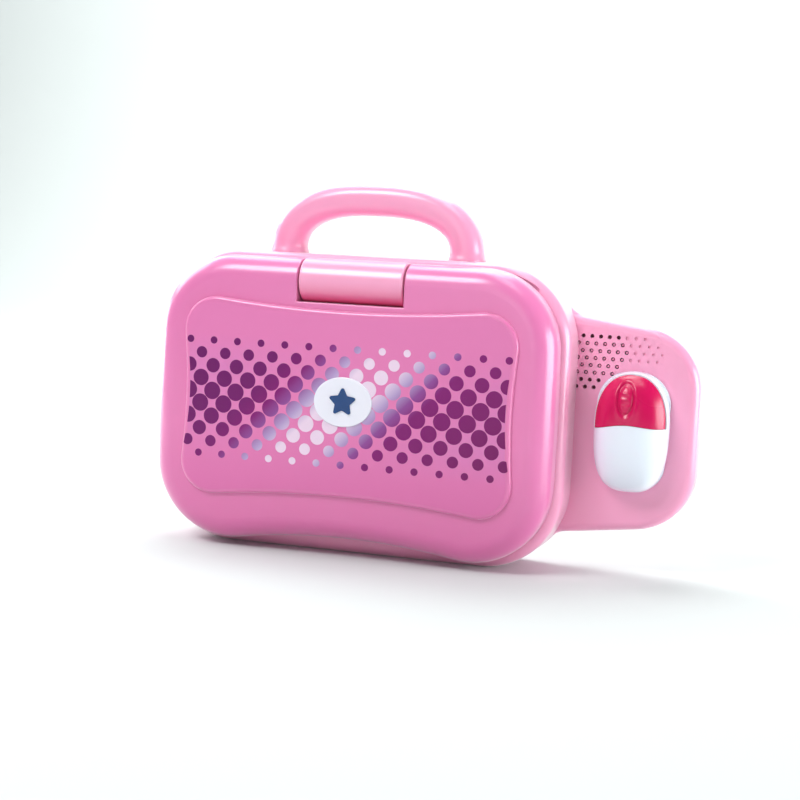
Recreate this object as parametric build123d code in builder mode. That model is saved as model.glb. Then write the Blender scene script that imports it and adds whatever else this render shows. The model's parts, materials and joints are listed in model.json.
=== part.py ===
"""Toy laptop computer with a carry handle, a hinged lid and a mouse on a side wing.

Millimetres. X is the width, Z the height as it stands on its front edge, and the lid faces -Y.
The origin is the middle of the flat edge that it stands on. Round pairs along Y are (x, z).
"""
from build123d import *
import os

# ---------------------------------------------------------------- driving dimensions

# Case: the main body of the base, split into two shells
CASE_WIDTH = 239.0
CASE_HEIGHT = 167.5
CASE_CORNER = 45.0
RIM_Y = -11.0           # front rim, where the lid closes
SPLIT_Y = 19.0          # joint between the two base shells
BACK_Y = 30.0
RIM_ROUND = 6.5
BACK_ROUND = 5.0
WALL = 2.5
GAP = 0.3               # between a moving piece and its neighbour
CLOSE_FIT = 0.1
FREE_FIT = 0.2

# Wing: the flat extension on the right that carries the mouse and the speaker
WING_Y = 12.0
WING_EDGE_X = 187.0
WING_ROOT_X = 60.0
WING_TOP = (149.5, 132.5)       # height of the top edge at the root and at the far edge
WING_BOTTOM = (13.3, 29.1)
WING_CORNER = 34.0
WING_NECK = 12.0
WING_NECKS = ((115.0, 142.1), (112.0, 19.8))
WING_ROUND = 5.0

# Lid
LID_EDGE_X = 113.2
LID_BOW = 2.4
LID_TOP = 165.0
LID_CORNER_Z = -6.6
LID_ARCH_Z = 10.0
LID_CORNER = 44.0
LID_FACE_Y = -30.5
LID_BACK_Y = RIM_Y - GAP
LID_ROUND = 12.0
INNER_Y = -14.5         # face of the lid's inner cover

# Raised panel and its printed label
PANEL_CORNER_X = 100.0
PANEL_WAIST_X = 94.7
PANEL_MID_Z = 85.7
PANEL_TOP = (144.6, 137.4)      # corner and middle of the top edge
PANEL_BOTTOM = (26.8, 35.0)
PANEL_CORNER = 19.0
PANEL_RAISE = 2.5
LABEL_INSET = 2.8
LABEL_THICK = 0.2
BADGE_SIZE = (33.7, 27.4)
BADGE_Z = 87.9
BADGE_THICK = 1.0
STAR_RADIUS = 9.0
STAR_THICK = 0.5

# Hinge
AXIS_Y = LID_FACE_Y + LID_ROUND
AXIS_Z = LID_TOP - LID_ROUND
BARREL_RADIUS = 12.5
BARREL_HALF = 30.0
NOTCH_HALF = 31.0
NOTCH_Z = 141.2
NOTCH_ROUND = 0.8
NOTCH_CLEARANCE = 0.8
SEAT_HALF = 30.5        # half length of the barrel's seat in the base
PIN_RADIUS = 3.0
PIN_CLEARANCE = 0.06
TROUGH_RADIUS = 13.2
# (x, radius) of the trough that the lid's top edge turns in; it narrows at the lid's corners
TROUGH_PROFILE = ((SEAT_HALF, TROUGH_RADIUS), (74.0, TROUGH_RADIUS), (86.0, 12.4), (101.0, 8.8))

# Screen in the lid
SCREEN_Z = 80.0
WINDOW = (118.0, 70.0)
WINDOW_THICK = 1.2
WINDOW_CORNER = 5.0
WINDOW_LIP = 4.0
MOULDING = (4.0, 8.0)           # inner and outer edge of the frame moulding, out from the window
MOULDING_RAISE = 1.0

# Keyboard deck in the base
DECK_OPENING = (196.0, 120.0)
DECK_CORNER = 25.0
DECK_Z = 77.0
DECK_LIP = 3.0
DECK_SIZE = (DECK_OPENING[0] + 2 * DECK_LIP, DECK_OPENING[1] + 2 * DECK_LIP)
DECK_THICK = 2.5
KEY_TOP_Y = RIM_Y
KEY_GAP = 0.4
KEY_FLANGE = 1.0
KEY_TRAVEL = 1.5
LETTER_KEY = (14.5, 12.5)
LETTER_CORNER = 2.8
LETTER_PITCH = (20.0, 19.0)
LETTER_ROWS = ((9, 105.0), (9, 86.0), (8, 67.0))
MODE_SIZE = (22.0, 11.0)
MODE_CORNER = 4.6
MODE_PLACES = ((-42.0, 127.0), (-14.0, 127.0), (14.0, 127.0), (42.0, 127.0))
SLIDER_PLACE = (-80.0, 127.0)
SLIDER_TRAVEL = 10.0
BOARD_Y = 0.5
BOARD_THICK = 1.6
BOARD_POSTS = ((-94.0, 52.0), (94.0, 52.0), (-94.0, 120.0), (94.0, 120.0))
POST_RADIUS = 2.6

# Mouse on the wing
MOUSE_PLACE = (152.2, 80.0)
MOUSE_SIZE = (42.4, 66.0)
MOUSE_FOOT_WIDTH = 37.0
MOUSE_CORNERS = (18.4, 15.6)    # at the top and at the foot
MOUSE_TOP_Y = -8.0
MOUSE_FOOT_Y = 11.6
MOUSE_PLATE = 2.0
MOUSE_STEP_Y = 3.0
MOUSE_TRAVEL = 1.0
MOUSE_SEAM_Z = 83.5
MOUSE_REACH = (5.0, 6.0)        # travel each way in x and z
STEM = 10.0
CARRIAGE_SIZE = (46.0, 34.0)
CARRIAGE_Y = 14.9

# Carry handle
HANDLE_FOOT_X = 62.5
HANDLE_INNER_X = 44.5
HANDLE_TOP = 208.5
HANDLE_BAR = 18.6
HANDLE_LEAN = 0.37
HANDLE_Y = (3.0, 25.0)
HANDLE_CORNER = 27.0
HANDLE_INNER_CORNER = 15.0
HANDLE_ROUND = 7.5

# Speaker, battery and fasteners
SPEAKER_PLACE = (134.5, 117.0)
SPEAKER_RADIUS = 14.0
HOLE_START = (121.9, 130.4)     # upper left hole of the staggered grid
HOLE_PITCH = (4.87, 4.0)
HOLE_COUNT = (12, 8)
HOLE_RADIUS = 1.15
OPEN_UPPER = (143.0, 133.0, -0.45)      # edge of the open holes: x, z and slope
OPEN_LOWER = (148.0, 118.0, 1.1)
DIMPLE_TIP = (172.0, 123.5, 1.7)        # point that the dimples narrow to
DIMPLE_LOW_Z = 116.0
DIMPLE_DEPTH = 0.8
BATTERY_Z = 85.0
TRAY_INNER = (60.0, 50.0)
TRAY_WALL = 2.0
TRAY_Y = 8.0
CELL_RADIUS = 7.0
CELL_LENGTH = 49.0
CELL_PITCH = 15.6
SCREW_RADIUS = 1.4
HEAD_RADIUS = 2.8
HEAD_THICK = 1.6
BASE_SCREWS = (
    (-108.0, 48.0), (-108.0, 120.0), (108.0, 48.0), (108.0, 120.0),
    (-72.0, 152.0), (72.0, 152.0), (176.0, 112.0), (176.0, 52.0),
)
LID_SCREWS = ((-98.0, 45.0), (98.0, 45.0), (-98.0, 125.0), (98.0, 125.0))
FOOT_PLACES = ((-85.0, 30.0), (85.0, 30.0), (-85.0, 138.0), (85.0, 138.0))

os.makedirs("parts", exist_ok=True)


def facing(y):
    """Plane at depth y seen from the lid side: x is +X, y is +Z, and extrusions go towards -Y."""
    return Plane.XZ.offset(-y)


def save(builder, name):
    """Label a finished piece and write it."""
    builder.part.label = name
    export_step(builder.part, f"parts/{name}.step")


# ---------------------------------------------------------------- outlines

def case_outline(inset=0.0):
    """Rounded rectangle of the main body, without the wing."""
    with BuildSketch() as outline:
        with Locations((0, CASE_HEIGHT / 2)):
            RectangleRounded(CASE_WIDTH - 2 * inset, CASE_HEIGHT - 2 * inset, CASE_CORNER - inset)
    return outline.sketch


def wing_outline(inset=0.0):
    """Wing, reaching well inside the main body."""
    edge = WING_EDGE_X - inset
    with BuildSketch() as outline:
        with BuildLine():
            Polyline(
                (WING_ROOT_X, WING_BOTTOM[0] + inset),
                (edge, WING_BOTTOM[1] + inset),
                (edge, WING_TOP[1] - inset),
                (WING_ROOT_X, WING_TOP[0] - inset),
                close=True,
            )
        make_face()
        fillet(outline.vertices().group_by(Axis.X)[-1], WING_CORNER - inset)
    return outline.sketch


def base_outline():
    """Main body and wing together, with hollow fillets where they meet."""
    with BuildSketch() as outline:
        add(case_outline())
        add(wing_outline())
        for corner in WING_NECKS:
            fillet(outline.vertices().sort_by_distance(corner)[:1], WING_NECK)
    return outline.sketch


def lid_outline(inset=0.0):
    """Lid: straight top, slightly bowed sides and an arched lower edge."""
    top = LID_TOP - inset
    side = LID_EDGE_X - inset
    bottom = LID_CORNER_Z + inset
    middle = (top + bottom) / 2
    with BuildSketch() as outline:
        with BuildLine():
            Line((-side, top), (side, top))
            ThreePointArc((side, top), (side + LID_BOW, middle), (side, bottom))
            ThreePointArc((side, bottom), (0, LID_ARCH_Z + inset), (-side, bottom))
            ThreePointArc((-side, bottom), (-side - LID_BOW, middle), (-side, top))
        make_face()
        fillet(outline.vertices(), LID_CORNER - inset)
    return outline.sketch


def panel_outline(inset=0.0):
    """Pincushion outline of the raised panel: all four sides curve in."""
    side = PANEL_CORNER_X - inset
    waist = PANEL_WAIST_X - inset
    top = PANEL_TOP[0] - inset
    bottom = PANEL_BOTTOM[0] + inset
    with BuildSketch() as outline:
        with BuildLine():
            ThreePointArc((-side, top), (0, PANEL_TOP[1] - inset), (side, top))
            ThreePointArc((side, top), (waist, PANEL_MID_Z), (side, bottom))
            ThreePointArc((side, bottom), (0, PANEL_BOTTOM[1] + inset), (-side, bottom))
            ThreePointArc((-side, bottom), (-waist, PANEL_MID_Z), (-side, top))
        make_face()
        fillet(outline.vertices(), PANEL_CORNER - inset)
    return outline.sketch


def letter_places():
    """Centres of the letter keys, row by row."""
    places = []
    for count, z in LETTER_ROWS:
        for column in range(count):
            places.append(((column - (count - 1) / 2) * LETTER_PITCH[0], z))
    return places


def speaker_holes():
    """Staggered hole grid over the speaker: (x, z) of the open holes, then of the dimples."""
    holes = []
    dimples = []
    for row in range(HOLE_COUNT[1]):
        z = HOLE_START[1] - row * HOLE_PITCH[1]
        open_edge = min(slope * (z - height) + x for x, height, slope in (OPEN_UPPER, OPEN_LOWER))
        dimple_edge = DIMPLE_TIP[0] - DIMPLE_TIP[2] * abs(z - DIMPLE_TIP[1])
        for column in range(HOLE_COUNT[0]):
            x = HOLE_START[0] + (column - (row % 2) / 2) * HOLE_PITCH[0]
            if x < open_edge:
                holes.append((x, z))
            elif z > DIMPLE_LOW_Z and x < dimple_edge:
                dimples.append((x, z))
    return holes, dimples


# ---------------------------------------------------------------- base shells

with BuildPart() as case_cavity:
    with BuildSketch(facing(SPLIT_Y)):
        add(case_outline(WALL))
    extrude(amount=SPLIT_Y - RIM_Y - WALL)
    fillet(case_cavity.faces().sort_by(Axis.Y)[0].edges(), RIM_ROUND - WALL)
    with BuildSketch(Plane.YZ):
        with Locations((AXIS_Y, AXIS_Z)):
            Circle(TROUGH_RADIUS + WALL)
    extrude(amount=CASE_WIDTH, both=True, mode=Mode.SUBTRACT)

HOLES, DIMPLES = speaker_holes()
BOSS_RADIUS = 4.0
PILOT_DEPTH = 4.0
HEAD_RECESS = 6.0
TOP_BOSS_Y = -4.0       # front end of the two bosses behind the hinge trough
TENON = (48.0, 8.0, 11.0)
HANDLE_TONGUE = (10.0, 9.8, 9.5)
TONGUE_X = (HANDLE_FOOT_X + HANDLE_INNER_X) / 2
TONGUE_Y = SPLIT_Y - HANDLE_TONGUE[1] / 2
TONGUE_PLACES = ((-TONGUE_X, TONGUE_Y), (TONGUE_X, TONGUE_Y))
TONGUE_BARB = (6.0, 4.0)        # how much wider the tongue's end is, and how long

with BuildPart() as base_top_shell:
    with BuildSketch(facing(SPLIT_Y)):
        add(base_outline())
    extrude(amount=SPLIT_Y - WING_Y)
    fillet(base_top_shell.faces().sort_by(Axis.Y)[0].edges(), WING_ROUND)
    with BuildSketch(facing(SPLIT_Y)):
        add(case_outline())
    extrude(amount=SPLIT_Y - RIM_Y)
    fillet(base_top_shell.faces().sort_by(Axis.Y)[0].edges(), RIM_ROUND)
    add(case_cavity.part, mode=Mode.SUBTRACT)
    with BuildSketch(facing(SPLIT_Y)):
        add(wing_outline(WALL))
    extrude(amount=SPLIT_Y - WING_Y - WALL, mode=Mode.SUBTRACT)
    # screw bosses, reaching up to the front plate or to the wing
    with BuildSketch(facing(SPLIT_Y)):
        with Locations(*BASE_SCREWS[:4]):
            Circle(BOSS_RADIUS)
    extrude(amount=SPLIT_Y - RIM_Y - WALL)
    with BuildSketch(facing(SPLIT_Y)):
        with Locations(*BASE_SCREWS[4:6]):
            Circle(BOSS_RADIUS)
    extrude(amount=SPLIT_Y - TOP_BOSS_Y)
    with BuildSketch(facing(SPLIT_Y)):
        with Locations(*BASE_SCREWS[6:]):
            Circle(BOSS_RADIUS)
    extrude(amount=SPLIT_Y - WING_Y - WALL)
    with BuildSketch(facing(SPLIT_Y)):
        with Locations(*BASE_SCREWS):
            Circle(SCREW_RADIUS + CLOSE_FIT)
    extrude(amount=PILOT_DEPTH, mode=Mode.SUBTRACT)
    # trough for the lid's rolled edge, and the seat and slot of the hinge barrel
    with BuildSketch(Plane.YZ):
        with Locations((AXIS_Y, AXIS_Z)):
            Circle(BARREL_RADIUS + CLOSE_FIT)
    extrude(amount=SEAT_HALF, both=True, mode=Mode.SUBTRACT)
    for side in (1, -1):
        with BuildSketch(facing(AXIS_Y)):
            with BuildLine():
                Polyline(
                    (side * (SEAT_HALF), AXIS_Z),
                    *((side * x, AXIS_Z + radius) for x, radius in TROUGH_PROFILE),
                    (side * TROUGH_PROFILE[-1][0], AXIS_Z),
                    close=True,
                )
            make_face()
        revolve(axis=Axis((0, AXIS_Y, AXIS_Z), (1, 0, 0)), mode=Mode.SUBTRACT)
    with BuildSketch(facing(0)):
        with Locations((0, AXIS_Z)):
            Rectangle(TENON[0] + FREE_FIT, TENON[1] + FREE_FIT)
    extrude(amount=TENON[2], mode=Mode.SUBTRACT)
    # openings: keyboard, mouse stem, speaker and handle tongues
    with BuildSketch(facing(RIM_Y + WALL)):
        with Locations((0, DECK_Z)):
            RectangleRounded(*DECK_OPENING, DECK_CORNER)
    extrude(amount=WALL, mode=Mode.SUBTRACT)
    with BuildSketch(facing(WING_Y + WALL)):
        with Locations(MOUSE_PLACE):
            Rectangle(STEM + 2 * MOUSE_REACH[0] + 1.0, STEM + 2 * MOUSE_REACH[1] + 1.0)
        with Locations(*HOLES):
            Circle(HOLE_RADIUS)
    extrude(amount=WALL, mode=Mode.SUBTRACT)
    for x, z in DIMPLES:
        with BuildSketch(facing(WING_Y + DIMPLE_DEPTH)):
            with Locations((x, z)):
                Circle(1.0 - 0.022 * (x - OPEN_LOWER[0] - 1.0))
        extrude(amount=DIMPLE_DEPTH, mode=Mode.SUBTRACT)
    with BuildSketch(Plane.XY.offset(CASE_HEIGHT)):
        with Locations(*TONGUE_PLACES):
            Rectangle(HANDLE_TONGUE[0] + FREE_FIT, HANDLE_TONGUE[1])
    extrude(amount=-WALL, mode=Mode.SUBTRACT)
save(base_top_shell, "base_top_shell")

DOOR_SIZE = (70.0, 60.0)
DOOR_THICK = 1.8

with BuildPart() as base_bottom_shell:
    with BuildSketch(facing(BACK_Y)):
        add(base_outline())
    extrude(amount=BACK_Y - SPLIT_Y)
    fillet(base_bottom_shell.faces().sort_by(Axis.Y)[-1].edges(), BACK_ROUND)
    with BuildSketch(facing(BACK_Y - WALL)):
        add(case_outline(WALL))
        add(wing_outline(WALL))
    extrude(amount=BACK_Y - WALL - SPLIT_Y, mode=Mode.SUBTRACT)
    with BuildSketch(facing(BACK_Y - WALL)):
        with Locations(*BASE_SCREWS):
            Circle(BOSS_RADIUS)
    extrude(amount=BACK_Y - WALL - SPLIT_Y)
    with BuildSketch(facing(BACK_Y)):
        with Locations(*BASE_SCREWS):
            Circle(HEAD_RADIUS + GAP)
    extrude(amount=HEAD_RECESS, mode=Mode.SUBTRACT)
    with BuildSketch(facing(BACK_Y)):
        with Locations(*BASE_SCREWS):
            Circle(SCREW_RADIUS + FREE_FIT)
        with Locations((0, BATTERY_Z)):
            Rectangle(*TRAY_INNER)
    extrude(amount=BACK_Y - SPLIT_Y, mode=Mode.SUBTRACT)
    with BuildSketch(facing(BACK_Y)):
        with Locations((0, BATTERY_Z)):
            RectangleRounded(*DOOR_SIZE, 4.0)
    extrude(amount=DOOR_THICK, mode=Mode.SUBTRACT)
save(base_bottom_shell, "base_bottom_shell")

# ---------------------------------------------------------------- carry handle

handle_crown_x = HANDLE_FOOT_X - HANDLE_LEAN * (HANDLE_TOP - CASE_HEIGHT)
handle_bar_z = HANDLE_TOP - HANDLE_BAR
handle_inner_crown_x = HANDLE_INNER_X - HANDLE_LEAN * (handle_bar_z - CASE_HEIGHT)

with BuildPart() as carry_handle:
    with BuildSketch(facing(HANDLE_Y[1])) as handle_profile:
        with BuildLine():
            Polyline(
                (-HANDLE_FOOT_X, CASE_HEIGHT),
                (-handle_crown_x, HANDLE_TOP),
                (handle_crown_x, HANDLE_TOP),
                (HANDLE_FOOT_X, CASE_HEIGHT),
                close=True,
            )
        make_face()
        fillet(handle_profile.vertices().group_by(Axis.Y)[-1], HANDLE_CORNER)
    extrude(amount=HANDLE_Y[1] - HANDLE_Y[0])
    with BuildSketch(facing(HANDLE_Y[1])) as handle_window:
        with BuildLine():
            Polyline(
                (-HANDLE_INNER_X, CASE_HEIGHT),
                (-handle_inner_crown_x, handle_bar_z),
                (handle_inner_crown_x, handle_bar_z),
                (HANDLE_INNER_X, CASE_HEIGHT),
                close=True,
            )
        make_face()
        fillet(handle_window.vertices().group_by(Axis.Y)[-1], HANDLE_INNER_CORNER)
    extrude(amount=HANDLE_Y[1] - HANDLE_Y[0], mode=Mode.SUBTRACT)
    bar_edges = (
        carry_handle.faces().sort_by(Axis.Y)[0].edges() + carry_handle.faces().sort_by(Axis.Y)[-1].edges()
    )
    fillet([edge for edge in bar_edges if edge.center().Z > CASE_HEIGHT + 1], HANDLE_ROUND)
    with BuildSketch(Plane.XY.offset(CASE_HEIGHT)):
        with Locations(*TONGUE_PLACES):
            Rectangle(HANDLE_TONGUE[0], HANDLE_TONGUE[1] - 0.4)
    extrude(amount=-HANDLE_TONGUE[2])
    with BuildSketch(Plane.XY.offset(CASE_HEIGHT - WALL - 0.1)):
        with Locations(*TONGUE_PLACES):
            Rectangle(HANDLE_TONGUE[0] + TONGUE_BARB[0], HANDLE_TONGUE[1] - 0.4)
    extrude(amount=-TONGUE_BARB[1])
save(carry_handle, "carry_handle")

# ---------------------------------------------------------------- hinge

with BuildPart() as hinge_barrel:
    with BuildSketch(Plane.YZ):
        with Locations((AXIS_Y, AXIS_Z)):
            Circle(BARREL_RADIUS)
    extrude(amount=BARREL_HALF, both=True)
    fillet(hinge_barrel.edges().filter_by(GeomType.CIRCLE), 1.2)
    with BuildSketch(facing(0)):
        with Locations((0, AXIS_Z)):
            Rectangle(TENON[0], TENON[1])
    extrude(amount=TENON[2])
    with BuildSketch(Plane.YZ):
        with Locations((AXIS_Y, AXIS_Z)):
            Circle(PIN_RADIUS + PIN_CLEARANCE)
    extrude(amount=BARREL_HALF, both=True, mode=Mode.SUBTRACT)
save(hinge_barrel, "hinge_barrel")

KNUCKLE_X = (34.4, 44.0)
KNUCKLE_RADIUS = 7.0
PIN_INNER_X = 20.0

with BuildPart() as hinge_pins:
    for side in (1, -1):
        with BuildSketch(Plane.YZ.offset(side * PIN_INNER_X)):
            with Locations((AXIS_Y, AXIS_Z)):
                Circle(PIN_RADIUS)
        extrude(amount=side * (KNUCKLE_X[1] - PIN_INNER_X))
save(hinge_pins, "hinge_pins")

# ---------------------------------------------------------------- lid shell, label and badge

LID_WALL_X = 34.0       # walls that close the lid round the notch
LID_WALL_Z = 137.5
LID_BOSS_RADIUS = 3.5

with BuildPart() as lid_cavity:
    with BuildSketch(facing(LID_BACK_Y)):
        add(lid_outline(WALL))
    extrude(amount=LID_BACK_Y - LID_FACE_Y - WALL)
    fillet(lid_cavity.faces().sort_by(Axis.Y)[0].edges(), LID_ROUND - WALL)
    with BuildSketch(facing(LID_BACK_Y)):
        with Locations((0, LID_WALL_Z)):
            Rectangle(2 * LID_WALL_X, 2 * (LID_TOP - LID_WALL_Z), align=(Align.CENTER, Align.MIN))
    extrude(amount=LID_BACK_Y - LID_FACE_Y, mode=Mode.SUBTRACT)

with BuildPart() as lid_outer_shell:
    with BuildSketch(facing(LID_BACK_Y)):
        add(lid_outline())
    extrude(amount=LID_BACK_Y - LID_FACE_Y)
    fillet(lid_outer_shell.faces().sort_by(Axis.Y)[0].edges(), LID_ROUND)
    with BuildSketch(facing(LID_FACE_Y)):
        add(panel_outline())
    extrude(amount=PANEL_RAISE)
    fillet(lid_outer_shell.faces().sort_by(Axis.Y)[0].edges(), PANEL_RAISE - 0.4)
    add(lid_cavity.part, mode=Mode.SUBTRACT)
    # notch round the hinge barrel, with a hollow floor that turns about it
    with BuildSketch(facing(LID_BACK_Y)):
        with Locations((0, NOTCH_Z)):
            Rectangle(2 * NOTCH_HALF, LID_TOP - NOTCH_Z + 1, align=(Align.CENTER, Align.MIN))
    extrude(amount=LID_BACK_Y - LID_FACE_Y, mode=Mode.SUBTRACT)
    notch_edges = (
        lid_outer_shell.edges()
        .filter_by_position(Axis.X, -NOTCH_HALF, NOTCH_HALF)
        .filter_by_position(Axis.Z, NOTCH_Z - 0.1, LID_TOP)
        .filter_by_position(Axis.Y, LID_FACE_Y - 0.1, AXIS_Y)
    )
    front_edges = [
        edge for edge in notch_edges
        if edge.geom_type == GeomType.CIRCLE or edge.center().Y < LID_FACE_Y + 0.1
    ]
    fillet(front_edges, NOTCH_ROUND)
    with BuildSketch(Plane.YZ):
        with Locations((AXIS_Y, AXIS_Z)):
            Circle(BARREL_RADIUS + NOTCH_CLEARANCE)
    extrude(amount=NOTCH_HALF, both=True, mode=Mode.SUBTRACT)
    # the back of the top edge is round about the hinge axis
    with BuildSketch(Plane.YZ):
        with Locations((AXIS_Y, AXIS_Z)):
            Rectangle(20.0, 20.0, align=(Align.MIN, Align.MIN))
            Circle(LID_ROUND, mode=Mode.SUBTRACT)
    extrude(amount=CASE_WIDTH, both=True, mode=Mode.SUBTRACT)
    with BuildSketch(Plane.YZ):
        with Locations((AXIS_Y, AXIS_Z)):
            Circle(PIN_RADIUS + GAP)
    extrude(amount=LID_WALL_X, both=True, mode=Mode.SUBTRACT)
    with BuildSketch(facing(INNER_Y - WALL)):
        with Locations(*LID_SCREWS):
            Circle(LID_BOSS_RADIUS)
            Circle(SCREW_RADIUS + CLOSE_FIT, mode=Mode.SUBTRACT)
    extrude(amount=INNER_Y - LID_FACE_Y - 2 * WALL)
save(lid_outer_shell, "lid_outer_shell")

LABEL_Y = LID_FACE_Y - PANEL_RAISE

with BuildPart() as lid_graphic_label:
    with BuildSketch(facing(LABEL_Y)):
        add(panel_outline(LABEL_INSET))
    extrude(amount=LABEL_THICK)
save(lid_graphic_label, "lid_graphic_label")

with BuildPart() as badge_plate:
    with BuildSketch(facing(LABEL_Y - LABEL_THICK)):
        with Locations((0, BADGE_Z)):
            Ellipse(BADGE_SIZE[0] / 2, BADGE_SIZE[1] / 2)
    extrude(amount=BADGE_THICK)
    fillet(badge_plate.faces().sort_by(Axis.Y)[0].edges(), 0.6)
save(badge_plate, "badge_plate")

with BuildPart() as badge_star:
    with BuildSketch(facing(LABEL_Y - LABEL_THICK - BADGE_THICK)) as star:
        star_points = []
        with BuildLine():
            outer = PolarLocations(STAR_RADIUS, 5, start_angle=90)
            inner = PolarLocations(STAR_RADIUS * 0.5, 5, start_angle=126)
            for tip, dip in zip(outer.local_locations, inner.local_locations):
                star_points.append((tip.position.X, tip.position.Y + BADGE_Z))
                star_points.append((dip.position.X, dip.position.Y + BADGE_Z))
            Polyline(*star_points, close=True)
        make_face()
        fillet(star.vertices(), 1.0)
    extrude(amount=STAR_THICK)
save(badge_star, "badge_star")

# ---------------------------------------------------------------- lid inner cover and screen

with BuildPart() as lid_inner_cover:
    with BuildSketch(facing(INNER_Y)):
        add(lid_outline(WALL + GAP))
        with Locations((0, LID_WALL_Z - GAP)):
            Rectangle(
                2 * (LID_WALL_X + GAP), LID_TOP - LID_WALL_Z, align=(Align.CENTER, Align.MIN),
                mode=Mode.SUBTRACT,
            )
        with Locations((0, SCREEN_Z)):
            RectangleRounded(
                WINDOW[0] - 2 * WINDOW_LIP, WINDOW[1] - 2 * WINDOW_LIP, 3.0, mode=Mode.SUBTRACT,
            )
    extrude(amount=WALL)
    with BuildSketch(facing(INNER_Y)):
        with Locations((0, SCREEN_Z)):
            RectangleRounded(
                WINDOW[0] + 2 * FREE_FIT, WINDOW[1] + 2 * FREE_FIT, WINDOW_CORNER + FREE_FIT,
            )
    extrude(amount=WINDOW_THICK, mode=Mode.SUBTRACT)
    # frame moulding round the screen
    with BuildSketch(facing(INNER_Y)):
        with Locations((0, SCREEN_Z)):
            RectangleRounded(WINDOW[0] + 2 * MOULDING[1], WINDOW[1] + 2 * MOULDING[1], 12.0)
            RectangleRounded(
                WINDOW[0] + 2 * MOULDING[0], WINDOW[1] + 2 * MOULDING[0], 8.0, mode=Mode.SUBTRACT,
            )
    extrude(amount=-MOULDING_RAISE)
    for side in (1, -1):
        with BuildSketch(Plane.YZ.offset(side * KNUCKLE_X[0])):
            with Locations((AXIS_Y, AXIS_Z)):
                Circle(KNUCKLE_RADIUS)
        extrude(amount=side * (KNUCKLE_X[1] - KNUCKLE_X[0]))
        with BuildSketch(Plane.YZ.offset(side * KNUCKLE_X[0])):
            with Locations((AXIS_Y, AXIS_Z)):
                Circle(PIN_RADIUS)
        extrude(amount=side * (KNUCKLE_X[1] - KNUCKLE_X[0]), mode=Mode.SUBTRACT)
    with BuildSketch(facing(INNER_Y)):
        with Locations(*LID_SCREWS):
            Circle(HEAD_RADIUS + FREE_FIT)
    extrude(amount=HEAD_THICK, mode=Mode.SUBTRACT)
    with BuildSketch(facing(INNER_Y)):
        with Locations(*LID_SCREWS):
            Circle(SCREW_RADIUS + FREE_FIT)
    extrude(amount=WALL, mode=Mode.SUBTRACT)
save(lid_inner_cover, "lid_inner_cover")

with BuildPart() as screen_window:
    with BuildSketch(facing(INNER_Y)):
        with Locations((0, SCREEN_Z)):
            RectangleRounded(*WINDOW, WINDOW_CORNER)
    extrude(amount=WINDOW_THICK)
save(screen_window, "screen_window")

DISPLAY_Y = INNER_Y - WALL - CLOSE_FIT
DISPLAY_THICK = 2.6
SCREEN_BOARD_Y = DISPLAY_Y - DISPLAY_THICK - CLOSE_FIT
SCREEN_CHIPS = ((25, SCREEN_Z), (25, SCREEN_Z + 18))

with BuildPart() as screen_display:
    with BuildSketch(facing(DISPLAY_Y)):
        with Locations((0, SCREEN_Z)):
            Rectangle(WINDOW[0] - 2, WINDOW[1] - 2)
    extrude(amount=DISPLAY_THICK)
save(screen_display, "screen_display")

with BuildPart() as screen_circuit_board:
    with BuildSketch(facing(SCREEN_BOARD_Y)):
        with Locations((0, SCREEN_Z)):
            Rectangle(WINDOW[0] + 2, WINDOW[1] + 2)
    extrude(amount=BOARD_THICK)
    with BuildSketch(facing(SCREEN_BOARD_Y - BOARD_THICK)):
        with Locations((-30, SCREEN_Z + 10)):
            Circle(7.0)
        with Locations(*SCREEN_CHIPS):
            Rectangle(14, 6)
    extrude(amount=1.4)
save(screen_circuit_board, "screen_circuit_board")

LID_SCREW_LENGTH = 9.0
CROSS_SLOT = (3.6, 0.7, 0.8)    # length, width and depth

with BuildPart() as lid_screws:
    with BuildSketch(facing(INNER_Y)):
        with Locations(*LID_SCREWS):
            Circle(HEAD_RADIUS)
    extrude(amount=HEAD_THICK)
    with BuildSketch(facing(INNER_Y)):
        with Locations(*LID_SCREWS):
            Circle(SCREW_RADIUS)
    extrude(amount=LID_SCREW_LENGTH)
    with BuildSketch(facing(INNER_Y)):
        with Locations(*LID_SCREWS):
            Rectangle(CROSS_SLOT[0], CROSS_SLOT[1])
            Rectangle(CROSS_SLOT[1], CROSS_SLOT[0])
    extrude(amount=CROSS_SLOT[2], mode=Mode.SUBTRACT)
save(lid_screws, "lid_screws")

BUMPER_PLACES = ((-80, 16), (80, 16))
BUMPER_RADIUS = 3.0

with BuildPart() as lid_bumpers:
    with BuildSketch(facing(LID_BACK_Y - GAP)):
        with Locations(*BUMPER_PLACES):
            Circle(BUMPER_RADIUS)
    extrude(amount=LID_BACK_Y - GAP - INNER_Y)
save(lid_bumpers, "lid_bumpers")

# ---------------------------------------------------------------- keyboard deck

DECK_FRONT_Y = RIM_Y + WALL
DECK_BACK_Y = DECK_FRONT_Y + DECK_THICK
MUSIC_PLACE = (80.0, 127.0)
ROUND_BUTTONS = (("music_button", MUSIC_PLACE, 8.0), ("repeat_button", (-62.0, 38.0), 9.0),
                 ("help_button", (62.0, 38.0), 9.0))
ENTER_PLACE = (0.0, 38.0)
ENTER_SIZE = (52.0, 18.0)
ENTER_CORNER = 8.8
SLIDER_SLOT = (SLIDER_TRAVEL + 10.0, 5.0)


def key_slot(size, corner):
    """Opening in the deck for a key, wider than it by the key gap all round."""
    RectangleRounded(size[0] + 2 * KEY_GAP, size[1] + 2 * KEY_GAP, corner + KEY_GAP / 2)


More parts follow.
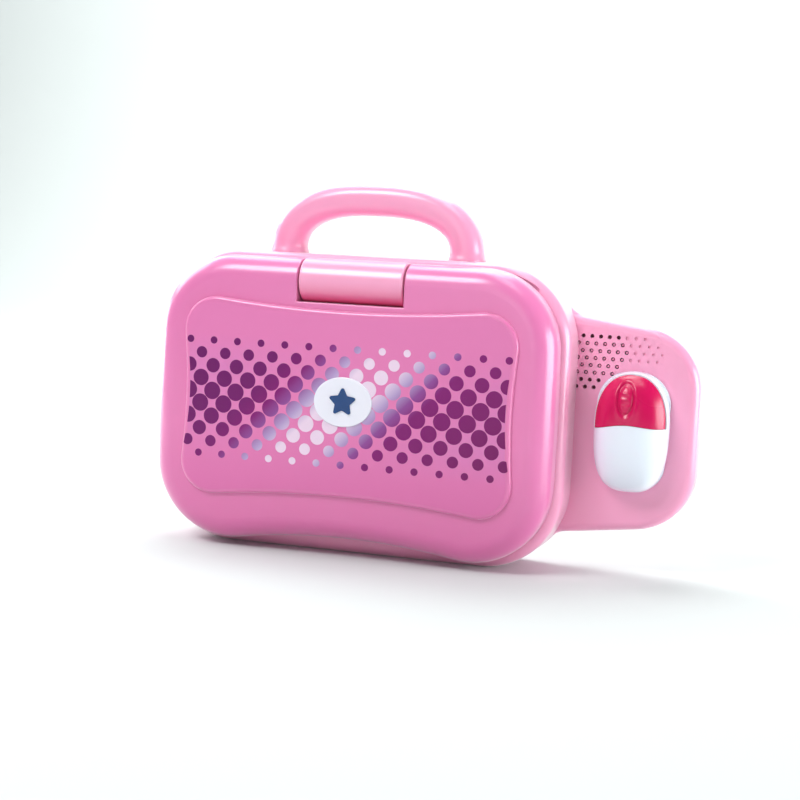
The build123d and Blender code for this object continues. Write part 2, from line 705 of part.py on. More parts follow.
with BuildPart() as keyboard_deck:
    with BuildSketch(facing(DECK_BACK_Y)):
        with Locations((0, DECK_Z)):
            RectangleRounded(*DECK_SIZE, DECK_CORNER + DECK_LIP)
    extrude(amount=DECK_THICK)
    with BuildSketch(facing(DECK_BACK_Y)):
        with Locations(*letter_places()):
            key_slot(LETTER_KEY, LETTER_CORNER)
        with Locations(*MODE_PLACES):
            key_slot(MODE_SIZE, MODE_CORNER)
        with Locations(ENTER_PLACE):
            key_slot(ENTER_SIZE, ENTER_CORNER)
        with Locations(SLIDER_PLACE):
            RectangleRounded(*SLIDER_SLOT, 2.4)
        for name, place, radius in ROUND_BUTTONS:
            with Locations(place):
                Circle(radius + KEY_GAP)
    extrude(amount=DECK_THICK, mode=Mode.SUBTRACT)
    with BuildSketch(facing(BOARD_Y)):
        with Locations(*BOARD_POSTS):
            Circle(POST_RADIUS)
            Circle(SCREW_RADIUS + CLOSE_FIT, mode=Mode.SUBTRACT)
    extrude(amount=BOARD_Y - DECK_BACK_Y)
save(keyboard_deck, "keyboard_deck")

MAT_SIZE = (180.0, 57.0)
MAT_THICK = 1.2
MAT_BACK_Y = DECK_BACK_Y + CLOSE_FIT + MAT_THICK
PAD_RADIUS = 3.0        # carbon pad under each key
PAD_END_Y = -0.2

with BuildPart() as letter_keymat:
    with BuildSketch(facing(MAT_BACK_Y)):
        with Locations((0, LETTER_ROWS[1][1])):
            RectangleRounded(*MAT_SIZE, 3.0)
    extrude(amount=MAT_THICK)
    with BuildSketch(facing(MAT_BACK_Y)):
        with Locations(*letter_places()):
            RectangleRounded(*LETTER_KEY, LETTER_CORNER)
    extrude(amount=MAT_BACK_Y - KEY_TOP_Y)
    fillet(letter_keymat.faces().group_by(Axis.Y)[0].edges(), 1.2)
    with BuildSketch(facing(PAD_END_Y)):
        with Locations(*letter_places()):
            Circle(PAD_RADIUS)
    extrude(amount=PAD_END_Y - MAT_BACK_Y)
save(letter_keymat, "letter_keymat")

FLANGE_THICK = 1.2
BUTTON_ROUND = 1.4
PLUNGER_RADIUS = 3.0
PLUNGER_END_Y = BOARD_Y - KEY_TRAVEL - 1.0


def push_button(name, place, size, corner):
    """A hard cap with a retaining flange under the deck and a plunger over its contact."""
    flange_y = DECK_BACK_Y + GAP
    with BuildPart() as button:
        with BuildSketch(facing(flange_y)):
            with Locations(place):
                RectangleRounded(*size, corner)
        extrude(amount=flange_y - KEY_TOP_Y)
        fillet(button.faces().sort_by(Axis.Y)[0].edges(), BUTTON_ROUND)
        with BuildSketch(facing(flange_y + FLANGE_THICK)):
            with Locations(place):
                RectangleRounded(size[0] + 2 * KEY_FLANGE, size[1] + 2 * KEY_FLANGE, corner)
        extrude(amount=FLANGE_THICK)
        with BuildSketch(facing(PLUNGER_END_Y)):
            with Locations(place):
                Circle(PLUNGER_RADIUS)
        extrude(amount=PLUNGER_END_Y - flange_y)
    save(button, name)


for number, place in enumerate(MODE_PLACES, start=1):
    push_button(f"mode_button_{number}", place, MODE_SIZE, MODE_CORNER)
for name, place, radius in ROUND_BUTTONS:
    push_button(name, place, (2 * radius, 2 * radius), radius - 0.05)
push_button("enter_button", ENTER_PLACE, ENTER_SIZE, ENTER_CORNER)

KNOB_WIDTH = 9.2
RIDGE_PITCH = 2.4
SLIDER_PLATE = (12.0, 10.0)

with BuildPart() as volume_slider:
    knob_x = SLIDER_PLACE[0] - SLIDER_TRAVEL / 2
    with BuildSketch(facing(DECK_BACK_Y + GAP)):
        with Locations((knob_x, SLIDER_PLACE[1])):
            RectangleRounded(KNOB_WIDTH, SLIDER_SLOT[1] - 2 * KEY_GAP, 2.0)
    extrude(amount=DECK_BACK_Y + GAP - KEY_TOP_Y - 0.6)
    for ridge in (-RIDGE_PITCH, 0.0, RIDGE_PITCH):
        with BuildSketch(facing(KEY_TOP_Y + 1.0)):
            with Locations((knob_x + ridge, SLIDER_PLACE[1])):
                Rectangle(0.9, SLIDER_SLOT[1] - 1.2)
        extrude(amount=1.0)
    with BuildSketch(facing(DECK_BACK_Y + GAP + FLANGE_THICK)):
        with Locations((knob_x, SLIDER_PLACE[1])):
            Rectangle(*SLIDER_PLATE)
    extrude(amount=FLANGE_THICK)
save(volume_slider, "volume_slider")

BOARD_SIZE = (196.0, 112.0)
BOARD_Z = 82.0
PART_HEIGHT = 2.0       # chips and capacitors on the board
MAIN_CHIP = (60.0, 85.0)
MEMORY_CHIPS = ((-60.0, 95.0), (-60.0, 75.0))

with BuildPart() as main_circuit_board:
    with BuildSketch(facing(BOARD_Y + BOARD_THICK)):
        with Locations((0, BOARD_Z)):
            Rectangle(*BOARD_SIZE)
        with Locations(*BOARD_POSTS):
            Circle(SCREW_RADIUS + FREE_FIT, mode=Mode.SUBTRACT)
    extrude(amount=BOARD_THICK)
    with BuildSketch(facing(BOARD_Y + BOARD_THICK + PART_HEIGHT)):
        with Locations(MAIN_CHIP):
            Circle(9.0)
        with Locations(*MEMORY_CHIPS):
            Rectangle(18, 8)
        with GridLocations(12, 60, 2, 2):
            with Locations((62, 85)):
                Circle(2.5)
    extrude(amount=PART_HEIGHT)
save(main_circuit_board, "main_circuit_board")

BOARD_SCREW_LENGTH = 6.0

with BuildPart() as circuit_board_screws:
    board_back = BOARD_Y + BOARD_THICK
    with BuildSketch(facing(board_back + HEAD_THICK)):
        with Locations(*BOARD_POSTS):
            Circle(HEAD_RADIUS)
    extrude(amount=HEAD_THICK)
    with BuildSketch(facing(board_back)):
        with Locations(*BOARD_POSTS):
            Circle(SCREW_RADIUS)
    extrude(amount=BOARD_SCREW_LENGTH)
save(circuit_board_screws, "circuit_board_screws")

# ---------------------------------------------------------------- speaker

def round_part(name, place, profile):
    """Turned piece about a Y axis through place; profile points are (radius, y)."""
    centre_x, centre_z = place
    with BuildPart() as turned:
        with BuildSketch(Plane.XY.offset(centre_z)):
            with BuildLine():
                Polyline(*[(centre_x + radius, y) for radius, y in profile], close=True)
            make_face()
        revolve(axis=Axis((centre_x, 0, centre_z), (0, 1, 0)))
    save(turned, name)


SPEAKER_Y = WING_Y + WALL + 0.1
SPEAKER_CORE = 8.0

round_part("speaker_frame", SPEAKER_PLACE, (
    (SPEAKER_RADIUS - 2.2, SPEAKER_Y), (SPEAKER_RADIUS, SPEAKER_Y), (SPEAKER_RADIUS, SPEAKER_Y + 1.2),
    (SPEAKER_CORE + 1, SPEAKER_Y + 5), (3.0, SPEAKER_Y + 5), (3.0, SPEAKER_Y + 4),
    (SPEAKER_CORE, SPEAKER_Y + 4), (SPEAKER_RADIUS - 2.2, SPEAKER_Y + 1.0),
))
round_part("speaker_cone", SPEAKER_PLACE, (
    (0.0, SPEAKER_Y + 2.3), (2.5, SPEAKER_Y + 3.2), (SPEAKER_RADIUS - 2.4, SPEAKER_Y + 0.2),
    (SPEAKER_RADIUS - 2.4, SPEAKER_Y + 0.6), (2.5, SPEAKER_Y + 3.7), (0.0, SPEAKER_Y + 2.8),
))
round_part("speaker_magnet", SPEAKER_PLACE, (
    (0.0, SPEAKER_Y + 5.1), (SPEAKER_CORE, SPEAKER_Y + 5.1), (SPEAKER_CORE, SPEAKER_Y + 9.0),
    (SPEAKER_CORE - 0.8, SPEAKER_Y + 9.8), (0.0, SPEAKER_Y + 9.8),
))

# ---------------------------------------------------------------- battery compartment

TRAY_BACK_Y = BACK_Y - WALL - 0.05
CELL_Y = 18.5
CELL_ROWS = (-CELL_PITCH, 0.0, CELL_PITCH)

with BuildPart() as battery_tray:
    with BuildSketch(facing(TRAY_BACK_Y)):
        with Locations((0, BATTERY_Z)):
            Rectangle(TRAY_INNER[0] + 2 * TRAY_WALL, TRAY_INNER[1] + 2 * TRAY_WALL)
    extrude(amount=TRAY_BACK_Y - TRAY_Y)
    with BuildSketch(facing(TRAY_BACK_Y)):
        with Locations((0, BATTERY_Z)):
            Rectangle(*TRAY_INNER)
    extrude(amount=TRAY_BACK_Y - TRAY_Y - TRAY_WALL, mode=Mode.SUBTRACT)
save(battery_tray, "battery_tray")

with BuildPart() as aa_batteries:
    for row, height in enumerate(CELL_ROWS):
        way = 1 if row % 2 == 0 else -1
        with BuildSketch(Plane.YZ.offset(-way * CELL_LENGTH / 2)):
            with Locations((CELL_Y, BATTERY_Z + height)):
                Circle(CELL_RADIUS)
        extrude(amount=way * CELL_LENGTH)
        with BuildSketch(Plane.YZ.offset(way * CELL_LENGTH / 2)):
            with Locations((CELL_Y, BATTERY_Z + height)):
                Circle(2.7)
        extrude(amount=way * 1.4)
save(aa_batteries, "aa_batteries")

CONTACT_X = TRAY_INNER[0] / 2 - 0.1

with BuildPart() as battery_contacts:
    for row, height in enumerate(CELL_ROWS):
        way = 1 if row % 2 == 0 else -1
        for end in (1, -1):
            with BuildSketch(Plane.YZ.offset(end * (CONTACT_X - 0.5))):
                with Locations((CELL_Y, BATTERY_Z + height)):
                    RectangleRounded(12.0, 12.0, 2.0)
            extrude(amount=end * 0.5)
        with BuildSketch(Plane.YZ.offset(way * (CONTACT_X - 0.5))):
            with Locations((CELL_Y, BATTERY_Z + height)):
                Circle(2.6)
        extrude(amount=-way * (CONTACT_X - 0.5 - CELL_LENGTH / 2 - 1.45))
save(battery_contacts, "battery_contacts")

SPRING_WIRE = 0.35
SPRING_HEIGHT = CONTACT_X - 0.5 - CELL_LENGTH / 2 - 4 * SPRING_WIRE


def battery_spring(way, height):
    """Coil between a contact plate and the flat end of one cell."""
    start_x = -way * (CONTACT_X - 0.5 - 2 * SPRING_WIRE)
    with BuildPart() as spring:
        with BuildLine() as coil:
            Helix(
                pitch=SPRING_HEIGHT / 3, height=SPRING_HEIGHT, radius=3.0,
                center=(start_x, CELL_Y, BATTERY_Z + height), direction=(way, 0, 0),
            )
        with BuildSketch(Plane(origin=coil.line @ 0, z_dir=coil.line % 0)):
            Circle(SPRING_WIRE)
        sweep()
    return spring.part


with BuildPart() as battery_springs:
    for row, height in enumerate(CELL_ROWS):
        add(battery_spring(1 if row % 2 == 0 else -1, height))
save(battery_springs, "battery_springs")

DOOR_SCREW = (0.0, BATTERY_Z + DOOR_SIZE[1] / 2 - 2.6)
DOOR_SCREW_RADIUS = 1.3
DOOR_HEAD = (2.3, 1.0)          # radius and thickness

with BuildPart() as battery_door:
    with BuildSketch(facing(BACK_Y)):
        with Locations((0, BATTERY_Z)):
            RectangleRounded(DOOR_SIZE[0] - 2 * GAP, DOOR_SIZE[1] - 2 * GAP, 4.0 - GAP)
        with Locations(DOOR_SCREW):
            Circle(DOOR_SCREW_RADIUS + FREE_FIT, mode=Mode.SUBTRACT)
    extrude(amount=DOOR_THICK - 0.05)
    with BuildSketch(facing(BACK_Y)):
        with GridLocations(0, 3.2, 1, 5):
            with Locations((0, BATTERY_Z - 16)):
                SlotOverall(26.0, 1.4)
    extrude(amount=0.6, mode=Mode.SUBTRACT)
save(battery_door, "battery_door")

with BuildPart() as battery_door_screw:
    with BuildSketch(facing(BACK_Y + DOOR_HEAD[1])):
        with Locations(DOOR_SCREW):
            Circle(DOOR_HEAD[0])
    extrude(amount=DOOR_HEAD[1])
    with BuildSketch(facing(BACK_Y)):
        with Locations(DOOR_SCREW):
            Circle(DOOR_SCREW_RADIUS)
    extrude(amount=DOOR_THICK - 0.1)
save(battery_door_screw, "battery_door_screw")

with BuildPart() as base_screws:
    with BuildSketch(facing(BACK_Y - HEAD_RECESS + HEAD_THICK)):
        with Locations(*BASE_SCREWS):
            Circle(HEAD_RADIUS)
    extrude(amount=HEAD_THICK)
    with BuildSketch(facing(BACK_Y - HEAD_RECESS)):
        with Locations(*BASE_SCREWS):
            Circle(SCREW_RADIUS)
    extrude(amount=BACK_Y - HEAD_RECESS - SPLIT_Y + PILOT_DEPTH - 0.5)
save(base_screws, "base_screws")

FOOT_RADIUS = 7.0
FOOT_HEIGHT = 2.0

with BuildPart() as rubber_feet:
    with BuildSketch(facing(BACK_Y + FOOT_HEIGHT)):
        with Locations(*FOOT_PLACES):
            Circle(FOOT_RADIUS)
    extrude(amount=FOOT_HEIGHT)
    fillet(rubber_feet.faces().group_by(Axis.Y)[-1].edges(), 0.8)
save(rubber_feet, "rubber_feet")

# ---------------------------------------------------------------- mouse

MOUSE_BODY_Y = MOUSE_FOOT_Y - MOUSE_PLATE
CAP_INSET = 2.3         # skirt, sliding inside the body
CAP_EDGE = 0.6          # head, over the body's rim
CAP_SKIRT_Y = 4.6
CAP_HEAD_Y = MOUSE_STEP_Y - MOUSE_TRAVEL - FREE_FIT
CAP_ROUND = 9.0
CAP_WALL = 2.0
CAP_CEILING_Y = -3.0
MOUSE_CROWN = 11.0
SEAM_WAVE = 1.2
MOUSE_TOP_Z = MOUSE_PLACE[1] + MOUSE_SIZE[1] / 2


def mouse_outline(inset=0.0):
    """Egg-like outline of the mouse, seen from the front: it narrows towards its foot."""
    crown = MOUSE_SIZE[0] / 2 - inset
    foot = MOUSE_FOOT_WIDTH / 2 - inset
    height = MOUSE_SIZE[1] / 2 - inset
    with BuildSketch() as outline:
        with Locations(MOUSE_PLACE):
            Polygon((-foot, -height), (foot, -height), (crown, height), (-crown, height), align=None)
        fillet(outline.vertices().group_by(Axis.Y)[-1], MOUSE_CORNERS[0] - inset)
        fillet(outline.vertices().group_by(Axis.Y)[0], MOUSE_CORNERS[1] - inset)
    return outline.sketch


def above_seam(gap=0.0):
    """Area over the upper half of the mouse, with a gently waving lower edge."""
    middle = MOUSE_PLACE[0]
    left = middle - MOUSE_SIZE[0] / 2 - 5
    right = middle + MOUSE_SIZE[0] / 2 + 5
    low = MOUSE_SEAM_Z + gap
    with BuildSketch() as area:
        with BuildLine():
            Spline((left, low), (middle - 3, low + SEAM_WAVE), (middle + 13, low - SEAM_WAVE), (right, low))
            Polyline((right, low), (right, low + MOUSE_SIZE[1]), (left, low + MOUSE_SIZE[1]), (left, low))
        make_face()
    return area.sketch


with BuildPart() as mouse_body:
    with BuildSketch(facing(MOUSE_BODY_Y)):
        add(mouse_outline())
    extrude(amount=MOUSE_BODY_Y - MOUSE_TOP_Y)
    fillet(mouse_body.faces().sort_by(Axis.Y)[0].edges(), MOUSE_CROWN)
    # step that carries the button, then the hollow inside
    with BuildSketch(facing(MOUSE_STEP_Y)):
        add(above_seam())
    extrude(amount=MOUSE_STEP_Y - MOUSE_TOP_Y, mode=Mode.SUBTRACT)
    with BuildSketch(facing(MOUSE_BODY_Y)):
        add(mouse_outline(CAP_INSET - GAP))
        add(above_seam(), mode=Mode.INTERSECT)
    extrude(amount=MOUSE_BODY_Y - MOUSE_STEP_Y, mode=Mode.SUBTRACT)
    with BuildSketch(facing(MOUSE_BODY_Y)):
        add(mouse_outline(CAP_INSET - GAP))
        add(above_seam(-2.0), mode=Mode.SUBTRACT)
    extrude(amount=MOUSE_BODY_Y - MOUSE_STEP_Y, mode=Mode.SUBTRACT)
save(mouse_body, "mouse_body")

WHEEL_PLACE = (150.5, 98.5)
WHEEL_SIZE = (8.5, 16.0)
WHEEL_RING = 0.8
PUSHER_RADIUS = 2.5
PUSHER_END_Y = 3.0

with BuildPart() as mouse_button:
    with BuildSketch(facing(CAP_HEAD_Y)):
        add(mouse_outline(CAP_EDGE))
    extrude(amount=CAP_HEAD_Y - MOUSE_TOP_Y)
    fillet(mouse_button.faces().sort_by(Axis.Y)[0].edges(), CAP_ROUND)
    with BuildSketch(facing(CAP_SKIRT_Y)):
        add(mouse_outline(CAP_INSET))
    extrude(amount=CAP_SKIRT_Y - CAP_HEAD_Y)
    with BuildSketch(facing(CAP_SKIRT_Y)):
        add(above_seam(GAP))
    extrude(amount=CAP_SKIRT_Y - MOUSE_TOP_Y + 1, mode=Mode.INTERSECT)
    with BuildSketch(facing(CAP_SKIRT_Y)):
        add(mouse_outline(CAP_INSET + CAP_WALL))
        add(above_seam(GAP + CAP_WALL), mode=Mode.INTERSECT)
    extrude(amount=CAP_SKIRT_Y - CAP_CEILING_Y, mode=Mode.SUBTRACT)
    with BuildSketch(facing(PUSHER_END_Y)):
        with Locations(WHEEL_PLACE):
            Circle(PUSHER_RADIUS)
    extrude(amount=PUSHER_END_Y - CAP_CEILING_Y + CAP_WALL)
    # moulded wheel: a ring groove and three ribs
    with BuildSketch(facing(MOUSE_TOP_Y + 0.5)):
        with Locations(WHEEL_PLACE):
            Ellipse(WHEEL_SIZE[0] / 2, WHEEL_SIZE[1] / 2)
            Ellipse(
                WHEEL_SIZE[0] / 2 - WHEEL_RING, WHEEL_SIZE[1] / 2 - WHEEL_RING, mode=Mode.SUBTRACT,
            )
        with GridLocations(0, 2.6, 1, 4):
            with Locations(WHEEL_PLACE):
                SlotOverall(4.2, 0.9)
    extrude(amount=0.6, mode=Mode.SUBTRACT)
save(mouse_button, "mouse_button")

CARRIAGE_THICK = 2.0
RETAINER_THICK = 2.0
STEM_END_Y = CARRIAGE_Y + CARRIAGE_THICK + GAP
SWITCH_SIZE = 6.2
SWITCH_HEIGHT = 3.4

with BuildPart() as mouse_foot_plate:
    with BuildSketch(facing(MOUSE_FOOT_Y)):
        add(mouse_outline(0.4))
    extrude(amount=MOUSE_PLATE)
    with BuildSketch(facing(STEM_END_Y)):
        with Locations(MOUSE_PLACE):
            Rectangle(STEM, STEM)
    extrude(amount=STEM_END_Y - MOUSE_FOOT_Y)
    with BuildSketch(facing(STEM_END_Y)):
        with Locations(MOUSE_PLACE):
            Circle(SCREW_RADIUS + CLOSE_FIT)
    extrude(amount=6.0, mode=Mode.SUBTRACT)
save(mouse_foot_plate, "mouse_foot_plate")

with BuildPart() as mouse_switch:
    with BuildSketch(facing(MOUSE_BODY_Y)):
        with Locations(WHEEL_PLACE):
            Rectangle(SWITCH_SIZE, SWITCH_SIZE)
    extrude(amount=SWITCH_HEIGHT)
    with BuildSketch(facing(MOUSE_BODY_Y - SWITCH_HEIGHT)):
        with Locations(WHEEL_PLACE):
            Circle(1.7)
    extrude(amount=1.2)
save(mouse_switch, "mouse_switch")

with BuildPart() as mouse_carriage:
    with BuildSketch(facing(CARRIAGE_Y + CARRIAGE_THICK)):
        with Locations(MOUSE_PLACE):
            RectangleRounded(*CARRIAGE_SIZE, 2.0)
            Rectangle(STEM + 0.4, STEM + 2 * MOUSE_REACH[1] + 0.6, mode=Mode.SUBTRACT)
    extrude(amount=CARRIAGE_THICK)
save(mouse_carriage, "mouse_carriage")

with BuildPart() as mouse_retainer:
    with BuildSketch(facing(STEM_END_Y + RETAINER_THICK)):
        with Locations(MOUSE_PLACE):
            RectangleRounded(18.0, 14.0, 2.0)
            Circle(SCREW_RADIUS + FREE_FIT, mode=Mode.SUBTRACT)
    extrude(amount=RETAINER_THICK)
save(mouse_retainer, "mouse_retainer")

with BuildPart() as mouse_retainer_screw:
    with BuildSketch(facing(STEM_END_Y + RETAINER_THICK + HEAD_THICK)):
        with Locations(MOUSE_PLACE):
            Circle(HEAD_RADIUS)
    extrude(amount=HEAD_THICK)
    with BuildSketch(facing(STEM_END_Y + RETAINER_THICK)):
        with Locations(MOUSE_PLACE):
            Circle(SCREW_RADIUS)
    extrude(amount=7.0)
save(mouse_retainer_screw, "mouse_retainer_screw")

RAIL_LENGTH = 57.0
RAIL_Z = CARRIAGE_SIZE[1] / 2 + GAP

with BuildPart() as mouse_guide_rails:
    for side in (1, -1):
        with BuildSketch(Plane.YZ.offset(MOUSE_PLACE[0] - RAIL_LENGTH / 2)):
            with Locations((WING_Y + WALL, MOUSE_PLACE[1] + side * (RAIL_Z + 2.0))):
                Rectangle(4.9, 4.0, align=(Align.MIN, Align.CENTER))
            with Locations((CARRIAGE_Y + CARRIAGE_THICK + 0.4, MOUSE_PLACE[1] + side * (RAIL_Z - 1.6))):
                Rectangle(2.1, 3.4, align=(Align.MIN, Align.CENTER))
        extrude(amount=RAIL_LENGTH)
save(mouse_guide_rails, "mouse_guide_rails")
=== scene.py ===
"""Looks of the toy laptop computer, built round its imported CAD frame. Metres, row frame."""
import json
import math
import bmesh
import bpy
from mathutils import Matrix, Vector


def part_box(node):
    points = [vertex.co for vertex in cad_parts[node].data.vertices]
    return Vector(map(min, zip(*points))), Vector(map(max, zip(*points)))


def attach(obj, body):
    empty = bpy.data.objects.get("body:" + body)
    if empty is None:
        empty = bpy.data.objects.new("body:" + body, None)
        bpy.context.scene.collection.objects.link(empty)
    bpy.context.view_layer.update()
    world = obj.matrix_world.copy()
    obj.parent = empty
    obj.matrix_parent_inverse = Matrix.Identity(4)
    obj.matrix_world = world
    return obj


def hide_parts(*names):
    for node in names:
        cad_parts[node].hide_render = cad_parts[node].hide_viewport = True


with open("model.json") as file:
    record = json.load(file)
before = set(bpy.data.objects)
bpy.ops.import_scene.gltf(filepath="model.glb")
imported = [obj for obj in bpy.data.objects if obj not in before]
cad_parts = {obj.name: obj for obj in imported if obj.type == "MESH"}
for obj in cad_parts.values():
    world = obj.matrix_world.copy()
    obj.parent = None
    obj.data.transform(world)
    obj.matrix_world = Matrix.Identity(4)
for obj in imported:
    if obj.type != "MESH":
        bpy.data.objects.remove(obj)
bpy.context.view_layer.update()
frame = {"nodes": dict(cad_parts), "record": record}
NODES = frame["nodes"]


# ---------------------------------------------------------------- helpers

def centre(node):
    """Middle of a CAD node's box."""
    low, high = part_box(node)
    return (low + high) / 2


def colour(red, green, blue):
    """Linear RGBA of an sRGB colour given in 0 to 255."""
    def linear(value):
        share = value / 255
        return share / 12.92 if share <= 0.04045 else ((share + 0.055) / 1.055) ** 2.4
    return (linear(red), linear(green), linear(blue), 1.0)


def linked_object(name, bm, smooth=True):
    """Object from a bmesh, linked to the scene."""
    mesh = bpy.data.meshes.new(name)
    bm.to_mesh(mesh)
    bm.free()
    for polygon in mesh.polygons:
        polygon.use_smooth = smooth
    made = bpy.data.objects.new(name, mesh)
    bpy.context.scene.collection.objects.link(made)
    return made


def new_object(name, bm, body, smooth=True):
    """Closed object from a bmesh, its normals outwards, riding on a body."""
    bmesh.ops.recalc_face_normals(bm, faces=bm.faces)
    made = linked_object(name, bm, smooth)
    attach(made, body)
    return made


def rounded(angle, exponent):
    """Point at an angle of a unit outline: a circle at exponent 1, squarer below it."""
    c, s = math.cos(angle), math.sin(angle)
    return math.copysign(abs(c) ** exponent, c), math.copysign(abs(s) ** exponent, s)


def close_tube(bm, rings):
    """Closed skin over a row of rings of vertices: quads between them and a cap at each end."""
    for first, second in zip(rings, rings[1:]):
        for turn in range(len(first)):
            after = (turn + 1) % len(first)
            bm.faces.new((first[turn], first[after], second[after], second[turn]))
    bm.faces.new(list(reversed(rings[0])))
    bm.faces.new(rings[-1])


def dress(target, material):
    """Gives an object, or a CAD node by name, one material."""
    made = NODES[target] if isinstance(target, str) else target
    made.data.materials.clear()
    made.data.materials.append(material)


def apply_modifiers(made):
    """Replaces an object's mesh by its evaluated one."""
    graph = bpy.context.evaluated_depsgraph_get()
    mesh = bpy.data.meshes.new_from_object(made.evaluated_get(graph))
    made.modifiers.clear()
    made.data = mesh


# ---------------------------------------------------------------- materials

class Graph:
    """A material's node tree, with short calls for what the materials here share."""

    def __init__(self, name):
        self.material = bpy.data.materials.new(name)
        self.material.use_nodes = True
        self.tree = self.material.node_tree
        self.shader = self.tree.nodes["Principled BSDF"]
        self.place = self.tree.nodes.new("ShaderNodeTexCoord").outputs["Object"]

    def node(self, kind, **inputs):
        """New node with constant values on its inputs; an underscore stands for a space."""
        made = self.tree.nodes.new(kind)
        for name, value in inputs.items():
            made.inputs[name.replace("_", " ")].default_value = value
        return made

    def link(self, output, socket):
        self.tree.links.new(output, socket)

    def axis(self, name):
        """The X, Y or Z of the place on the object, in metres."""
        made = self.node("ShaderNodeSeparateXYZ")
        self.link(self.place, made.inputs["Vector"])
        return made.outputs[name]

    def noise(self, scale, detail=3.0):
        """Soft noise, mostly between 0.2 and 0.8."""
        made = self.node("ShaderNodeTexNoise", Scale=scale, Detail=detail)
        self.link(self.place, made.inputs["Vector"])
        return made.outputs["Fac"]

    def math(self, operation, first, second=0.0):
        """One operation on two values, each a number or another node's output."""
        made = self.tree.nodes.new("ShaderNodeMath")
        made.operation = operation
        for socket, value in zip(made.inputs, (first, second)):
            if isinstance(value, (int, float)):
                socket.default_value = value
            else:
                self.link(value, socket)
        return made.outputs[0]

    def remap(self, value, low, high, to_low, to_high):
        """Value stretched from one range to another and held at its ends."""
        made = self.node(
            "ShaderNodeMapRange", From_Min=low, From_Max=high, To_Min=to_low, To_Max=to_high
        )
        self.link(value, made.inputs["Value"])
        return made.outputs["Result"]

    def mix(self, factor, first, second):
        """Blend of two colours, each constant or another node's output."""
        made = self.tree.nodes.new("ShaderNodeMix")
        made.data_type = "RGBA"
        self.link(factor, made.inputs["Factor"])
        for socket, value in ((made.inputs[6], first), (made.inputs[7], second)):
            if isinstance(value, tuple):
                socket.default_value = value
            else:
                self.link(value, socket)
        return made.outputs[2]

    def ramp(self, value, stops):
        """Colour from (position, colour) stops."""
        made = self.tree.nodes.new("ShaderNodeValToRGB")
        elements = made.color_ramp.elements
        elements[0].position, elements[0].color = stops[0]
        elements[1].position, elements[1].color = stops[-1]
        for position, shade in stops[1:-1]:
            elements.new(position).color = shade
        self.link(value, made.inputs["Fac"])
        return made.outputs["Color"]

    def base_colour(self, output):
        """Feeds the shader's base colour."""
        self.link(output, self.shader.inputs["Base Color"])

    def rough(self, low, high, scale, detail=3.0, edge=0.3):
        """Lets the roughness wander between two values with a noise, cut off at its edges."""
        share = self.remap(self.noise(scale, detail), edge, 1 - edge, low, high)
        self.link(share, self.shader.inputs["Roughness"])

    def constants(self, **values):
        """Constant values straight on the shader's sockets; an underscore stands for a space."""
        for name, value in values.items():
            self.shader.inputs[name.replace("_", " ")].default_value = value

    def bump(self, height, strength, distance):
        """Fine relief in the shading."""
        made = self.node("ShaderNodeBump", Strength=strength, Distance=distance)
        self.link(height, made.inputs["Height"])
        self.link(made.outputs["Normal"], self.shader.inputs["Normal"])


BLOTCH_SCALE = 9.0
PLATING_GREY = colour(120, 118, 115)


def tinted(graph, base, deep, share=0.1):
    """Base colour with slow blotches of a deeper tone, as moulded plastic has."""
    blotch = graph.remap(graph.noise(BLOTCH_SCALE, 1.0), 0.2, 0.8, 0.0, share)
    return graph.mix(blotch, base, deep)


def moulded(
    name, base, deep, roughness=0.3, coat=0.6, grain=0.00004, shade=None, gloss=0.5, sheen=0.25
):
    """Satin moulded plastic: blotches, a fine grain, and roughness that varies with handling."""
    graph = Graph(name)
    graph.base_colour(shade(graph) if shade else tinted(graph, base, deep))
    graph.rough(roughness - 0.03, roughness + 0.03, 35.0, 2.0, edge=0.1)
    graph.bump(graph.noise(1800.0, 2.0), 0.12, grain)
    graph.constants(
        Specular_IOR_Level=gloss, Coat_Weight=coat, Coat_Roughness=0.22, Sheen_Weight=sheen,
        Sheen_Roughness=0.35, Subsurface_Weight=0.08, Subsurface_Radius=(1.0, 0.35, 0.45),
        Subsurface_Scale=0.003,
    )
    return graph.material


def metal(name, base, roughness=0.32):
    """Plated steel with fine rubbing marks."""
    graph = Graph(name)
    graph.base_colour(tinted(graph, base, PLATING_GREY, 0.3))
    graph.rough(roughness - 0.08, roughness + 0.1, 420.0, 4.0)
    graph.bump(graph.noise(900.0, 2.0), 0.15, 0.00003)
    graph.constants(Metallic=1.0)
    return graph.material


def rubber(name, base, deep):
    """Matt silicone, rubber, paper or cloth."""
    graph = Graph(name)
    graph.base_colour(tinted(graph, base, deep, 0.25))
    graph.rough(0.5, 0.64, 80.0)
    graph.bump(graph.noise(2600.0, 2.0), 0.3, 0.00005)
    graph.constants(Sheen_Weight=0.15)
    return graph.material


def clear(name):
    """Clear polished window."""
    graph = Graph(name)
    graph.rough(0.03, 0.09, 60.0, 4.0)
    graph.constants(Base_Color=(0.94, 0.97, 0.96, 1.0), Transmission_Weight=1.0, IOR=1.45)
    return graph.material


def board(name):
    """Green solder mask with a faint track pattern."""
    graph = Graph(name)
    tracks = graph.node(
        "ShaderNodeTexBrick", Scale=90.0, Mortar_Size=0.012, Color1=colour(28, 98, 56),
        Color2=colour(34, 110, 62), Mortar=colour(64, 140, 84),
    )
    graph.link(graph.place, tracks.inputs["Vector"])
    graph.base_colour(tracks.outputs["Color"])
    graph.rough(0.3, 0.45, 90.0)
    return graph.material


